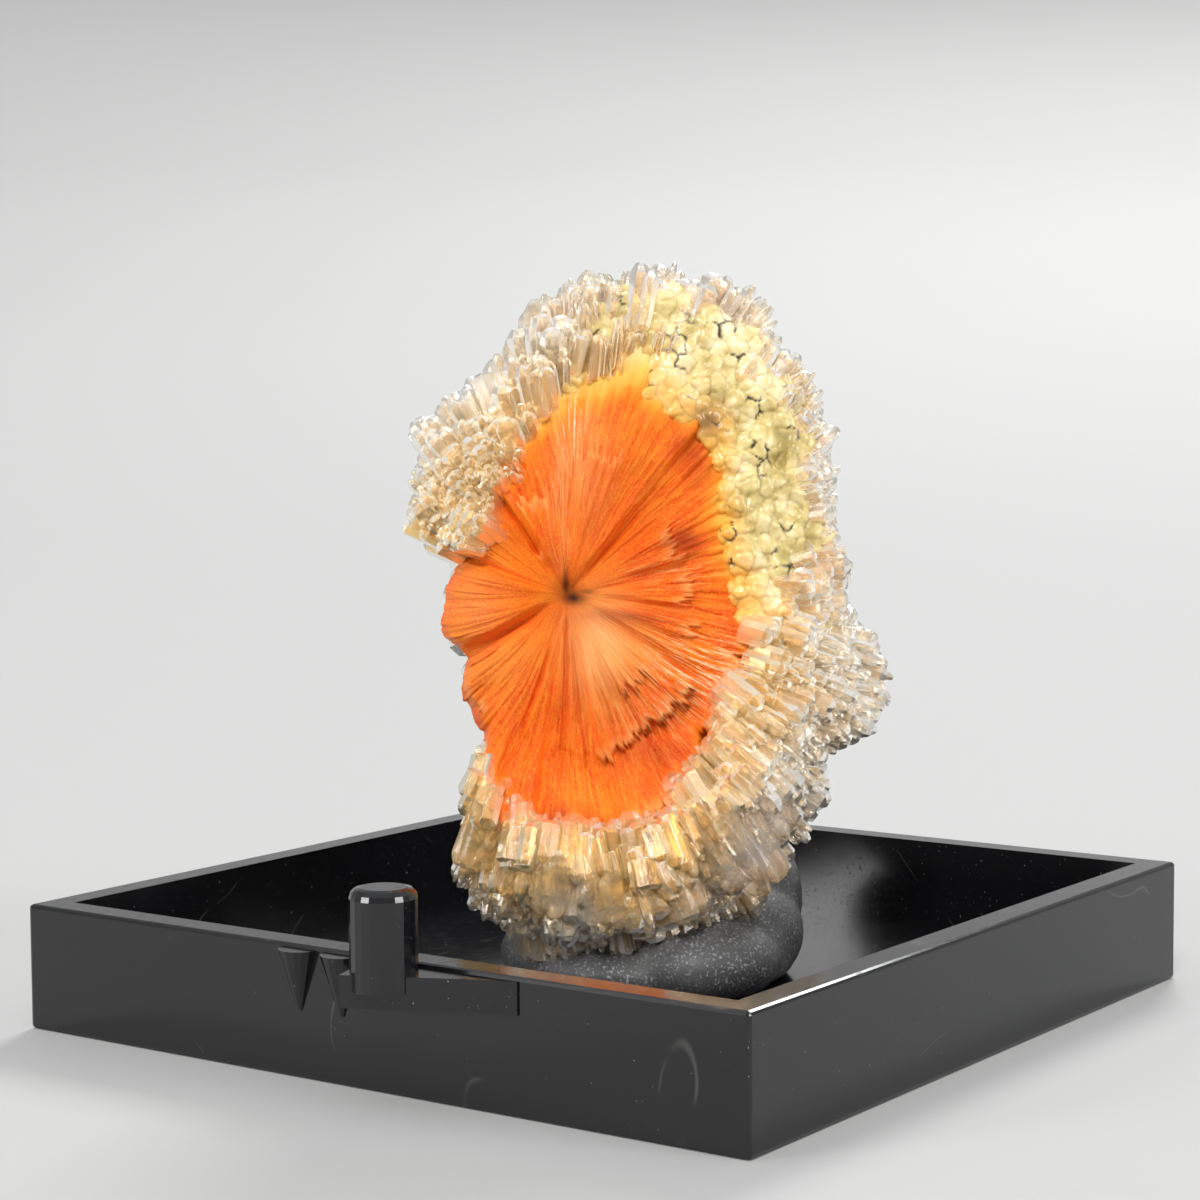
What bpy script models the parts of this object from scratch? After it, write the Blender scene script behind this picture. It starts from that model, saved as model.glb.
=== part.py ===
"""A thumbnail-size scolecite specimen, stuck by grey putty in the black tray of a small specimen box.

Three pieces, in metres, +Z up. The origin is the middle of the tray's underside. The tray's sides run along
X and Y, with the broken hinge ear on its -Y side. The specimen stands on the putty and its broken face looks
out over the tray's near corner, VIEW_TURN round from -Y towards +X.
"""

import math
import random

import bmesh
import bpy
from mathutils import Matrix, Vector

MM = 0.001
SEED = 20

# The tray: a square moulded dish with thin walls
TRAY_SIDE = 40.0 * MM
TRAY_HEIGHT = 5.9 * MM
TRAY_WALL = 1.5 * MM
TRAY_FLOOR = 1.4 * MM
TRAY_EDGE = 0.18 * MM

# The broken hinge on the tray's -Y wall: a wing flush with the rim, its peg, and two half-cone gussets
WING_OUTLINE = ((0.6, -19.2), (1.8, -23.1), (4.4, -21.9), (6.7, -20.8), (8.8, -20.1), (8.8, -19.2))
WING_THICKNESS = 1.4 * MM
PEG_PLACE = (3.0, -21.6)
PEG_RADIUS = 1.45 * MM
PEG_HEIGHT = 3.6 * MM
PEG_EDGE = 0.45 * MM
GUSSET_PLACES = (-3.1, -0.7)
GUSSET_RADIUS = 0.95 * MM
GUSSET_HEIGHT = 2.7 * MM
GUSSET_TIP = 0.12 * MM
GUSSET_BELOW_RIM = 0.15 * MM

# The specimen: where its growth centre stands in the tray, and which way its broken face looks
VIEW_TURN = math.radians(35.4)
CENTRE_RIGHT = -2.5 * MM
CENTRE_FRONT = -0.5 * MM
CENTRE_HEIGHT = 20.1 * MM

# The body's outline round the growth centre, without its crystals: degrees from the right, and millimetres
BODY_OUTLINE = (
    (0, 12.0), (18, 12.4), (32, 13.4), (45, 14.7), (58, 15.3), (72, 15.0), (86, 13.6), (97, 12.2), (105, 10.0),
    (116, 9.8), (128, 9.4), (141, 8.2), (152, 7.2), (161, 5.3), (180, 5.9), (197, 6.3), (212, 5.8), (226, 7.2),
    (238, 7.8), (245, 9.6), (251, 14.0), (262, 15.3), (275, 16.2), (286, 16.6), (300, 15.8), (314, 14.8),
    (326, 13.5), (338, 14.0), (349, 13.2),
)
# Grooves between the sheaves of needles on the broken face, in degrees
FAN_GROOVES = (
    2, 15, 27, 40, 51, 63, 75, 86, 97, 112, 130, 145, 159, 184, 210, 226, 242, 256, 267, 276, 288, 299, 310,
    321, 333, 347,
)
STEPS_PER_SHEAF = 3
RINGS = 18
FACE_RISE = 2.6 * MM
FACE_RIM_RISE = 0.65 * MM
FACE_PIT = 1.5 * MM
PIT_RADIUS = 0.9 * MM
SHEAF_RISE = 0.75 * MM
GROOVE_SHARE = 0.6
SHEAF_OFFSET = 0.5 * MM
SHEAF_ENDS = (0.62, 0.92)
SKIRT_RISE = 3.4 * MM
SKIRT_MIDDLE = 290.0
SKIRT_SPREAD = 60.0
SKIRT_SHARE = 0.86
SKIRT_WIDTH = 0.22
LEAN = 0.08
BACK_DEPTH = 7.6 * MM
ROOT_DEPTH = 2.5 * MM

# The clear crystal ends: rows of (first degree, last degree, count, share of the outline, length, radius, tilt
# forward). Lengths and radii are in millimetres, and the tilt is a share of the length
CRYSTAL_ROWS = (
    (243, 336, 17, 1.00, 4.2, 1.05, 0.10),
    (247, 330, 15, 0.90, 4.6, 1.05, 0.32),
    (252, 322, 12, 0.77, 4.4, 1.05, 0.55),
    (318, 352, 6, 0.80, 4.2, 1.10, 0.55),
    (338, 366, 5, 1.00, 4.4, 1.15, 0.15),
    (8, 58, 9, 1.00, 2.8, 0.85, -0.20),
    (60, 112, 9, 1.00, 3.2, 1.05, 0.00),
    (88, 108, 3, 0.84, 3.0, 1.10, 0.50),
    (108, 156, 9, 1.00, 2.8, 0.90, -0.05),
    (112, 154, 7, 0.82, 2.6, 0.90, 0.40),
)
# The same over the domed back: rings of (share of the outline, count, length, radius)
BACK_ROWS = (
    (0.96, 26, 2.8, 1.30), (0.86, 22, 2.9, 1.40), (0.70, 18, 3.0, 1.50), (0.52, 13, 3.0, 1.55),
    (0.32, 8, 3.0, 1.60), (0.12, 3, 3.0, 1.60),
)
CRYSTAL_SIDES = 6
CRYSTAL_BURIED = 0.55
CRYSTAL_SHAFT = 0.72
CRYSTAL_ROOT = 0.8
CRYSTAL_BLUNTNESS = (0.25, 0.5)
CRYSTAL_FLATNESS = (0.7, 0.95)
SIZE_SPREAD = (0.85, 1.15)
PLACE_SPREAD = (0.25, 0.75)
BACK_SPLAY = 0.2
# The left edge is bare: no crystals round it between these degrees, further out than this share
BARE_EDGE = (158, 246)
BARE_SHARE = 0.6

# The botryoidal skin beside the fan: (degrees, distance from the centre, radius) in millimetres
LUMPS = (
    (84, 12.6, 1.5), (76, 13.6, 1.7), (68, 12.4, 1.6), (62, 13.9, 1.8), (70, 14.6, 1.4), (56, 12.0, 1.5),
    (53, 14.2, 1.7), (47, 10.4, 0.95), (60, 10.2, 1.3), (47, 12.4, 1.5), (42, 13.6, 1.4), (38, 11.3, 1.4),
    (33, 12.8, 1.4), (29, 10.2, 1.4), (24, 11.8, 1.5), (20, 9.6, 1.2), (15, 10.8, 1.4), (13, 12.4, 1.4),
    (6, 10.0, 1.5), (1, 11.6, 1.5), (355, 9.9, 1.4), (352, 11.6, 1.4),
)
LUMP_FLATNESS = 0.85
LUMP_SHARE = 0.97

# The putty under and behind the specimen: (right, front, height of centre, half sizes) in millimetres
PUTTY_LUMPS = (
    (1.8, 0.6, 2.2, 6.6, 5.6, 1.6),
    (3.8, 2.9, 2.6, 3.8, 4.3, 2.0),
    (5.6, -0.6, 3.2, 3.3, 4.8, 2.6),
    (6.2, -3.0, 4.6, 2.8, 3.9, 3.5),
    (-2.4, -0.4, 2.3, 3.6, 3.8, 1.8),
    (1.5, -5.2, 4.4, 5.6, 3.0, 3.2),
)
PUTTY_GAP = 0.3 * MM
PUTTY_VOXEL = 0.5 * MM
PUTTY_SMOOTHING = 12
PUTTY_FACETS_KEPT = 0.22
BED_TOP = 12.0 * MM
BED_GAP = 0.6 * MM

# How finely the joined body, crystals and lumps are skinned over, and the share of those facets that is kept
SKIN_VOXEL = 0.26 * MM
FACETS_KEPT = 0.088

SMOOTH_BELOW = math.radians(35)
# Colour and roughness of each material
BLACK_PLASTIC = (0.012, 0.012, 0.013), 0.25
GREY_PUTTY = (0.09, 0.09, 0.092), 0.55
ORANGE_SCOLECITE = (0.86, 0.30, 0.045), 0.35


def clear_scene():
    for old in list(bpy.data.objects):
        bpy.data.objects.remove(old)
    for name in ("Scolecite in tray", "Guides"):
        bpy.context.scene.collection.children.link(bpy.data.collections.new(name))


def finish_material(name, colour, roughness):
    material = bpy.data.materials.new(name)
    material.use_nodes = True
    shader = material.node_tree.nodes["Principled BSDF"]
    shader.inputs["Base Color"].default_value = (*colour, 1.0)
    shader.inputs["Roughness"].default_value = roughness
    shader.inputs["Metallic"].default_value = 0.0
    return material


def add_object(name, mesh, collection, material=None):
    """Links a new object, and hides it from renders where it is only a guide."""
    made = bpy.data.objects.new(name, mesh)
    bpy.data.collections[collection].objects.link(made)
    if material:
        mesh.materials.append(material)
    if collection == "Guides":
        made.hide_render = True
        made.display_type = "WIRE"
    return made


def mesh_from(bm, name):
    mesh = bpy.data.meshes.new(name)
    bm.to_mesh(mesh)
    bm.free()
    return mesh


def block_mesh(name, low, high):
    bm = bmesh.new()
    bmesh.ops.create_cube(bm, size=1.0)
    size = [b - a for a, b in zip(low, high)]
    middle = [(a + b) / 2 for a, b in zip(low, high)]
    bmesh.ops.scale(bm, vec=size, verts=bm.verts)
    bmesh.ops.translate(bm, vec=middle, verts=bm.verts)
    return mesh_from(bm, name)


def add_boolean(target, operation, other):
    modifier = target.modifiers.new(operation.title(), "BOOLEAN")
    modifier.operation = operation
    modifier.solver = "EXACT"
    modifier.object = other


def add_skin(target, voxel, facets_kept, smoothing=0):
    """Skins over everything in a mesh as one closed surface, and then keeps a share of its facets."""
    skin = target.modifiers.new("One skin", "REMESH")
    skin.mode = "VOXEL"
    skin.voxel_size = voxel
    if smoothing:
        target.modifiers.new("Smoothed", "SMOOTH").iterations = smoothing
    facets = target.modifiers.new("Flat facets", "DECIMATE")
    facets.ratio = facets_kept


def evaluated_mesh(obj):
    """The mesh of an object with its modifiers, as a new mesh."""
    bpy.context.view_layer.update()
    graph = bpy.context.evaluated_depsgraph_get()
    return bpy.data.meshes.new_from_object(obj.evaluated_get(graph))


def without_pockets(mesh):
    """Keeps a mesh's outer skin, and drops the sealed pockets that joined crystals leave inside."""
    bm = bmesh.new()
    bm.from_mesh(mesh)
    waiting, shells = set(bm.verts), []
    while waiting:
        shell, edge = set(), [waiting.pop()]
        while edge:
            v = edge.pop()
            shell.add(v)
            near = {e.other_vert(v) for e in v.link_edges} & waiting
            waiting -= near
            edge.extend(near)
        shells.append(shell)
    outer = max(shells, key=len)
    bmesh.ops.delete(bm, geom=[v for v in bm.verts if v not in outer], context="VERTS")
    bm.to_mesh(mesh)
    bm.free()
    return mesh


def build_tray():
    """A square dish, hollowed from a block with rounded edges, with the hinge's remains moulded on."""
    half = TRAY_SIDE / 2
    black = finish_material("black polystyrene", *BLACK_PLASTIC)
    tray = add_object("tray", block_mesh("tray", (-half, -half, 0), (half, half, TRAY_HEIGHT)),
                      "Scolecite in tray", black)
    edges = tray.modifiers.new("Rounded edges", "BEVEL")
    edges.width = TRAY_EDGE
    edges.segments = 2
    inner = half - TRAY_WALL
    hollow = add_object("tray hollow", block_mesh("hollow", (-inner, -inner, TRAY_FLOOR),
                                                  (inner, inner, 2 * TRAY_HEIGHT)), "Guides")
    add_boolean(tray, "DIFFERENCE", hollow)
    for guide in (build_wing(), build_peg(), *map(build_gusset, GUSSET_PLACES)):
        add_boolean(tray, "UNION", guide)
    return tray


def build_wing():
    """The hinge's flat wing: its outline seen from above, drawn down from the rim."""
    bm = bmesh.new()
    corners = [bm.verts.new((x * MM, y * MM, TRAY_HEIGHT - TRAY_EDGE)) for x, y in WING_OUTLINE]
    face = bm.faces.new(corners)
    drawn = bmesh.ops.extrude_face_region(bm, geom=[face])
    lower = [v for v in drawn["geom"] if isinstance(v, bmesh.types.BMVert)]
    bmesh.ops.translate(bm, vec=(0, 0, -WING_THICKNESS), verts=lower)
    bmesh.ops.recalc_face_normals(bm, faces=bm.faces)
    return add_object("hinge wing", mesh_from(bm, "wing"), "Guides")


def build_peg():
    bm = bmesh.new()
    sunk = WING_THICKNESS / 2
    bmesh.ops.create_cone(bm, cap_ends=True, segments=24, radius1=PEG_RADIUS, radius2=PEG_RADIUS,
                          depth=PEG_HEIGHT + sunk)
    top = [e for e in bm.edges if all(v.co.z > 0 for v in e.verts)]
    bmesh.ops.bevel(bm, geom=top, offset=PEG_EDGE, segments=3, profile=0.5, affect="EDGES")
    peg = add_object("hinge peg", mesh_from(bm, "peg"), "Guides")
    base = TRAY_HEIGHT - TRAY_EDGE
    peg.location = (PEG_PLACE[0] * MM, PEG_PLACE[1] * MM, base + (PEG_HEIGHT - sunk) / 2)
    return peg


def build_gusset(place):
    """A half cone on the wall's outside, point down. Its inner half is sunk in the wall."""
    bm = bmesh.new()
    bmesh.ops.create_cone(bm, cap_ends=True, segments=16, radius1=GUSSET_TIP, radius2=GUSSET_RADIUS,
                          depth=GUSSET_HEIGHT)
    gusset = add_object("hinge gusset", mesh_from(bm, "gusset"), "Guides")
    top = TRAY_HEIGHT - GUSSET_BELOW_RIM
    gusset.location = (place * MM, -TRAY_SIDE / 2, top - GUSSET_HEIGHT / 2)
    return gusset


def outline_radius(degrees):
    """The body's outline at an angle, eased between the points of BODY_OUTLINE."""
    degrees %= 360
    closed = [*BODY_OUTLINE, (BODY_OUTLINE[0][0] + 360, BODY_OUTLINE[0][1])]
    for (a, ra), (b, rb) in zip(closed, closed[1:]):
        if a <= degrees <= b:
            t = (degrees - a) / (b - a)
            return (ra + (rb - ra) * t * t * (3 - 2 * t)) * MM
    return closed[0][1] * MM


def skirt_share(degrees):
    """How much of the crust's forward bulge an angle has: most at the bottom right, none at the left."""
    away = abs((degrees - SKIRT_MIDDLE + 180) % 360 - 180)
    return max(0.0, 1 - (away / SKIRT_SPREAD) ** 2)


def face_depth(degrees, share):
    """Depth of the smooth broken face, towards the viewer, at a share of the outline's radius."""
    radius = outline_radius(degrees) * share
    rise = FACE_RISE - (FACE_RISE - FACE_RIM_RISE) * share**4
    pit = FACE_PIT * math.exp(-((radius / PIT_RADIUS) ** 2))
    skirt = SKIRT_RISE * skirt_share(degrees) * math.exp(-(((share - SKIRT_SHARE) / SKIRT_WIDTH) ** 2))
    return rise - pit + skirt


def body_point(degrees, share, front, relief=0.0):
    """A point of the body about its growth centre: +X right, -Y towards the viewer, +Z up."""
    radius = outline_radius(degrees) * share
    x = radius * math.cos(math.radians(degrees))
    z = radius * math.sin(math.radians(degrees))
    if front:
        depth = face_depth(degrees, share) + relief
    else:
        depth = FACE_RIM_RISE - BACK_DEPTH * math.sqrt(max(0.0, 1 - share * share))
    return Vector((x, LEAN * z - depth, z))


def sheaf_angle(step):
    """The angle of a meridian, and where it lies across its sheaf, from 0 at one groove to 1 at the next."""
    index, part = divmod(step, STEPS_PER_SHEAF)
    index %= len(FAN_GROOVES)
    start = FAN_GROOVES[index]
    width = (FAN_GROOVES[(index + 1) % len(FAN_GROOVES)] - start) % 360
    across = part / STEPS_PER_SHEAF
    return (start + width * across) % 360, across, index


def build_body():
    """The fan's body: a ball with its pole on the growth centre, pressed to a broken face and a domed back."""
    rng = random.Random(SEED)
    offsets = [rng.uniform(-1, 1) * SHEAF_OFFSET for _ in FAN_GROOVES]
    ends = [rng.uniform(*SHEAF_ENDS) for _ in FAN_GROOVES]
    steps = STEPS_PER_SHEAF * len(FAN_GROOVES)
    bm = bmesh.new()
    bmesh.ops.create_uvsphere(bm, u_segments=steps, v_segments=RINGS, radius=1.0)
    for v in bm.verts:
        step = round(math.atan2(v.co.y, v.co.x) / math.tau * steps) % steps
        degrees, across, sheaf = sheaf_angle(step)
        polar = v.co.angle(Vector((0, 0, 1)))
        on_front = round(polar / math.pi * RINGS) * 2 <= RINGS
        share = polar / (math.pi / 2) if on_front else math.sin(polar)
        share = min(share, 1.0)
        ridge = SHEAF_RISE if across > 0 else -GROOVE_SHARE * SHEAF_RISE
        relief = ridge * math.sin(math.pi * share) + offsets[sheaf] * share * (1 - share)
        if ends[sheaf] < share < 1.0:
            relief -= SHEAF_RISE
        v.co = body_point(degrees, share, on_front, relief)
    bmesh.ops.recalc_face_normals(bm, faces=bm.faces)
    return mesh_from(bm, "specimen body")


def add_crystal(joined, foot, direction, length, radius, rng):
    """Adds a blunt prism with a low pyramid on its end, its root buried in the body below its foot."""
    bm = bmesh.new()
    length *= rng.uniform(*SIZE_SPREAD) * MM
    radius *= rng.uniform(*SIZE_SPREAD) * MM
    shaft = length * CRYSTAL_SHAFT
    bmesh.ops.create_cone(bm, cap_ends=True, segments=CRYSTAL_SIDES, radius1=radius * CRYSTAL_ROOT,
                          radius2=radius, depth=shaft)
    cap = max(bm.faces, key=lambda f: f.calc_center_median().z)
    drawn = bmesh.ops.extrude_face_region(bm, geom=[cap])
    end = [v for v in drawn["geom"] if isinstance(v, bmesh.types.BMVert)]
    blunt = rng.uniform(*CRYSTAL_BLUNTNESS)
    bmesh.ops.scale(bm, vec=(blunt, blunt, 1.0), verts=end)
    bmesh.ops.translate(bm, vec=(0, 0, length - shaft), verts=end)
    bmesh.ops.scale(bm, vec=(1.0, rng.uniform(*CRYSTAL_FLATNESS), 1.0), verts=bm.verts)
    turn = direction.to_track_quat("Z", "Y").to_matrix().to_4x4()
    roll = Matrix.Rotation(rng.uniform(0, math.tau), 4, "Z")
    middle = foot + direction * (shaft / 2 - length * CRYSTAL_BURIED)
    bm.transform(Matrix.Translation(middle) @ turn @ roll)
    joined.from_mesh(mesh_from(bm, "crystal"))


def grow_crystals(joined):
    """Every crystal end: the rows round the rim and down the front, then the rings over the domed back."""
    rng = random.Random(SEED + 1)
    for first, last, count, share, length, radius, tilt in CRYSTAL_ROWS:
        for i in range(count):
            degrees = first + (last - first) * (i + rng.uniform(*PLACE_SPREAD)) / count
            foot = body_point(degrees, share, True)
            outward = Vector((foot.x, 0, foot.z)).normalized()
            direction = (outward + Vector((0, -tilt, 0))).normalized()
            add_crystal(joined, foot, direction, length, radius, rng)
    root = Vector((0, -ROOT_DEPTH, 0))
    for share, count, length, radius in BACK_ROWS:
        for i in range(count):
            degrees = 360 * (i + rng.uniform(*PLACE_SPREAD)) / count
            if share > BARE_SHARE and BARE_EDGE[0] < degrees < BARE_EDGE[1]:
                continue
            foot = body_point(degrees, share, False)
            splay = Vector([rng.uniform(-BACK_SPLAY, BACK_SPLAY) for _ in range(3)])
            direction = ((foot - root).normalized() + splay).normalized()
            add_crystal(joined, foot, direction, length, radius, rng)


def grow_lumps(joined):
    """The rounded, grape-like lumps of the skin beside the fan."""
    for degrees, distance, radius in LUMPS:
        place = body_point(degrees, min(LUMP_SHARE, distance * MM / outline_radius(degrees)), True)
        flattened = Matrix.Translation(place) @ Matrix.Diagonal((1, LUMP_FLATNESS, 1, 1))
        bm = bmesh.new()
        bmesh.ops.create_icosphere(bm, subdivisions=2, radius=radius * MM, matrix=flattened)
        joined.from_mesh(mesh_from(bm, "lump"))


def in_view(right, front, height):
    """A place in the tray from distances, in metres, along the directions of the specimen's broken face."""
    x = right * math.cos(VIEW_TURN) + front * math.sin(VIEW_TURN)
    y = right * math.sin(VIEW_TURN) - front * math.cos(VIEW_TURN)
    return Vector((x, y, height))


def build_specimen():
    """The whole specimen as one solid: the body, with its crystal ends and lumps fused to it."""
    joined = bmesh.new()
    joined.from_mesh(build_body())
    grow_crystals(joined)
    grow_lumps(joined)
    rough = add_object("body and crystals", mesh_from(joined, "body and crystals"), "Guides")
    add_skin(rough, SKIN_VOXEL, FACETS_KEPT)
    orange = finish_material("orange scolecite", *ORANGE_SCOLECITE)
    specimen = add_object("scolecite", without_pockets(evaluated_mesh(rough)), "Scolecite in tray", orange)
    specimen.location = in_view(CENTRE_RIGHT, CENTRE_FRONT, CENTRE_HEIGHT)
    specimen.rotation_euler.z = VIEW_TURN
    return specimen


def build_putty(specimen):
    """A lump of putty flattened on the tray's floor, with the specimen's bed pressed into it."""
    joined = bmesh.new()
    for right, front, height, *halves in PUTTY_LUMPS:
        place = Matrix.Translation(in_view(right * MM, front * MM, height * MM))
        turned = Matrix.Rotation(VIEW_TURN, 4, "Z")
        squashed = Matrix.Diagonal((*(h * MM for h in halves), 1))
        bm = bmesh.new()
        bmesh.ops.create_uvsphere(bm, u_segments=24, v_segments=12, radius=1.0,
                                  matrix=place @ turned @ squashed)
        joined.from_mesh(mesh_from(bm, "putty lump"))
    lump = add_object("kneaded lump", mesh_from(joined, "kneaded lump"), "Guides")
    add_skin(lump, PUTTY_VOXEL, PUTTY_FACETS_KEPT, PUTTY_SMOOTHING)
    grey = finish_material("grey putty", *GREY_PUTTY)
    putty = add_object("putty", without_pockets(evaluated_mesh(lump)), "Scolecite in tray", grey)
    base = TRAY_FLOOR + PUTTY_GAP
    below = block_mesh("below the putty", (-TRAY_SIDE, -TRAY_SIDE, -TRAY_SIDE), (TRAY_SIDE, TRAY_SIDE, base))
    add_boolean(putty, "DIFFERENCE", add_object("below the putty", below, "Guides"))
    add_boolean(putty, "DIFFERENCE", build_bed(specimen))
    return putty


def build_bed(specimen):
    """The space the specimen takes in the putty: the hull of its lower end, grown by a small gap."""
    bpy.context.view_layer.update()
    bm = bmesh.new()
    for v in specimen.data.vertices:
        place = specimen.matrix_world @ v.co
        if place.z < BED_TOP:
            bm.verts.new(place)
    bmesh.ops.convex_hull(bm, input=bm.verts)
    inside = [v for v in bm.verts if not v.link_faces]
    bmesh.ops.delete(bm, geom=inside, context="VERTS")
    bmesh.ops.recalc_face_normals(bm, faces=bm.faces)
    bm.normal_update()
    for v in bm.verts:
        v.co += v.normal * BED_GAP
    return add_object("bed in the putty", mesh_from(bm, "bed"), "Guides")


def main():
    clear_scene()
    tray = build_tray()
    specimen = build_specimen()
    putty = build_putty(specimen)
    for piece in (tray, putty):
        piece.data.shade_smooth()
        piece.data.set_sharp_from_angle(angle=SMOOTH_BELOW)


main()
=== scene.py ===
"""A scolecite specimen stuck by putty in the black tray of a small specimen box: its looks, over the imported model."""
import math

import bmesh
import bpy
import numpy as np
from mathutils import Matrix, Vector, noise
from mathutils.kdtree import KDTree


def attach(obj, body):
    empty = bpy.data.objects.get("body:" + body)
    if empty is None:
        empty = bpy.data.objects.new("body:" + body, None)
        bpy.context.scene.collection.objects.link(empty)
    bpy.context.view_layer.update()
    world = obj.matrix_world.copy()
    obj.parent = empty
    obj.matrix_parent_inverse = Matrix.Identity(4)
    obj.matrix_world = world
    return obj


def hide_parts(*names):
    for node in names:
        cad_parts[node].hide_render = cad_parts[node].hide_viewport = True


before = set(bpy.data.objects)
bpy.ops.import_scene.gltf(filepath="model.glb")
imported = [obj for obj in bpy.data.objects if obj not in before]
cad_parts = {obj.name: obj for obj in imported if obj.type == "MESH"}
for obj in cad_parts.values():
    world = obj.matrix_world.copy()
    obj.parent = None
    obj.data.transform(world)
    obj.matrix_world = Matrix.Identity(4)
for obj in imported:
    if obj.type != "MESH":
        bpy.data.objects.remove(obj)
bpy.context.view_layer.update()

MM = 0.001

# The camera stands in front of the tray's near corner, level with the upper part of the specimen, and looks a
# few degrees down. The floor is one pale sheet that curves up all round, and four soft lamps stand over it.
camera = bpy.data.objects.new("camera", bpy.data.cameras.new("camera"))
across = Vector((0.8152, 0.5792, -0.0063))
down = Vector((0.0415, -0.0693, -0.9967))
ahead = Vector((-0.5777, 0.8122, -0.0806))
stand = Matrix((across, -down, -ahead)).transposed().to_4x4()
stand.translation = Vector((77.04, -110.0, 30.52)) * MM
camera.matrix_world = stand
camera.data.sensor_width = 36
camera.data.lens = 83.86
camera.data.clip_start = 0.002
bpy.context.scene.collection.objects.link(camera)
bpy.context.scene.camera = camera
bpy.context.scene.view_settings.view_transform = "Standard"


def shader_of(name, **values):
    """A new material with a Principled shader, and its node tree. Spaces in socket names are underscores here."""
    material = bpy.data.materials.new(name)
    material.use_nodes = True
    shader = material.node_tree.nodes["Principled BSDF"]
    for socket, value in values.items():
        shader.inputs[socket.replace("_", " ")].default_value = value
    return material, material.node_tree, shader


def let_go():
    """Leaves edit mode and selects nothing."""
    if bpy.context.object and bpy.context.object.mode != "OBJECT":
        bpy.ops.object.mode_set(mode="OBJECT")
    bpy.ops.object.select_all(action="DESELECT")


# radius and height, in metres, of the floor and of the sheet that curves up from it all round
SWEEP = ((0.40, 0), (0.62, 0.015), (0.85, 0.055), (1.08, 0.12), (1.30, 0.22), (1.50, 0.36), (1.66, 0.56),
         (1.78, 0.84), (1.85, 1.2), (1.88, 1.8))
SHEET_SIDES = 96
UNDER_TRAY = 0.02 * MM
turns = [math.tau * i / SHEET_SIDES for i in range(SHEET_SIDES)]
flat_middle = tuple(range(SHEET_SIDES))
curved = []
for k in range(0, SHEET_SIDES * (len(SWEEP) - 1), SHEET_SIDES):
    for i in range(SHEET_SIDES):
        j = (i + 1) % SHEET_SIDES
        curved.append((k + i, k + SHEET_SIDES + i, k + SHEET_SIDES + j, k + j))
sheet = bpy.data.meshes.new("floor")
sheet.from_pydata([(r * math.cos(a), r * math.sin(a), z - UNDER_TRAY) for r, z in SWEEP for a in turns], [],
                  [flat_middle] + curved)
floor = bpy.data.objects.new("floor", sheet)
bpy.context.scene.collection.objects.link(floor)
bpy.context.view_layer.objects.active = floor
let_go()
floor.select_set(True)
bpy.ops.object.shade_smooth()
floor.data.materials.append(shader_of("pale floor", Base_Color=(0.50, 0.50, 0.49, 1), Roughness=0.8)[0])

world = bpy.data.worlds.new("studio")
bpy.context.scene.world = world
world.use_nodes = True
world.node_tree.nodes["Background"].inputs["Color"].default_value = (0.90, 0.92, 0.95, 1)
world.node_tree.nodes["Background"].inputs["Strength"].default_value = 0.75
# each lamp's name, its place and size in metres, and its power in watts
LAMPS = (("key", (0.42, -0.85, 0.95), 0.35, 10.5), ("fill", (-0.50, -0.85, 0.24), 0.30, 3.6),
         ("back", (-0.35, 0.95, 0.80), 0.35, 8.0), ("side", (1.10, 0.20, 0.35), 0.35, 4.5))
LIT_POINT = Vector((0, 0, 0.016))
for name, place, size, watts in LAMPS:
    lamp = bpy.data.objects.new(name, bpy.data.lights.new(name, "AREA"))
    lamp.data.size = size
    lamp.data.energy = watts
    lamp.location = place
    lamp.rotation_euler = (LIT_POINT - Vector(place)).to_track_quat("-Z", "Y").to_euler()
    bpy.context.scene.collection.objects.link(lamp)

# The tray is the lower half of a small box, moulded in glossy black polystyrene. It has picked up specks of
# dust, hairline marks and fine scratches.
BLACK, SCUFFED = (0.006, 0.006, 0.007), (0.20, 0.19, 0.175)
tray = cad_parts["tray"]
plastic, nt, shader = shader_of("black polystyrene", Base_Color=(*BLACK, 1), Roughness=0.16, IOR=1.55)


def node(tree, kind, **settings):
    """Adds a shader node. A setting is a socket, by name, or else a property of the node."""
    made = tree.nodes.new(kind)
    for key, value in settings.items():
        socket = made.inputs.get(key.replace("_", " "))
        if socket is None:
            setattr(made, key, value)
        elif isinstance(value, bpy.types.NodeSocket):
            tree.links.new(value, socket)
        else:
            socket.default_value = value
    return made


def ramp(tree, factor, *stops):
    """A colour ramp through (position, colour) stops. A single number makes a grey."""
    made = tree.nodes.new("ShaderNodeValToRGB")
    tree.links.new(factor, made.inputs["Fac"])
    elements = made.color_ramp.elements
    while len(elements) < len(stops):
        elements.new(0.5)
    for element, (place, colour) in zip(elements, stops):
        element.position = place
        element.color = (*colour, 1) if isinstance(colour, tuple) else (colour, colour, colour, 1)
    return made.outputs["Color"]


def mixed(tree, factor, a, b, blend="MIX"):
    """One colour laid over another by a factor. Each is a socket or a value."""
    made = tree.nodes.new("ShaderNodeMix")
    made.data_type = "RGBA"
    made.blend_type = blend
    for socket, value in ((made.inputs[0], factor), (made.inputs[6], a), (made.inputs[7], b)):
        if isinstance(value, bpy.types.NodeSocket):
            tree.links.new(value, socket)
        else:
            socket.default_value = (*value, 1) if isinstance(value, tuple) else value
    return made.outputs[2]


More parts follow.
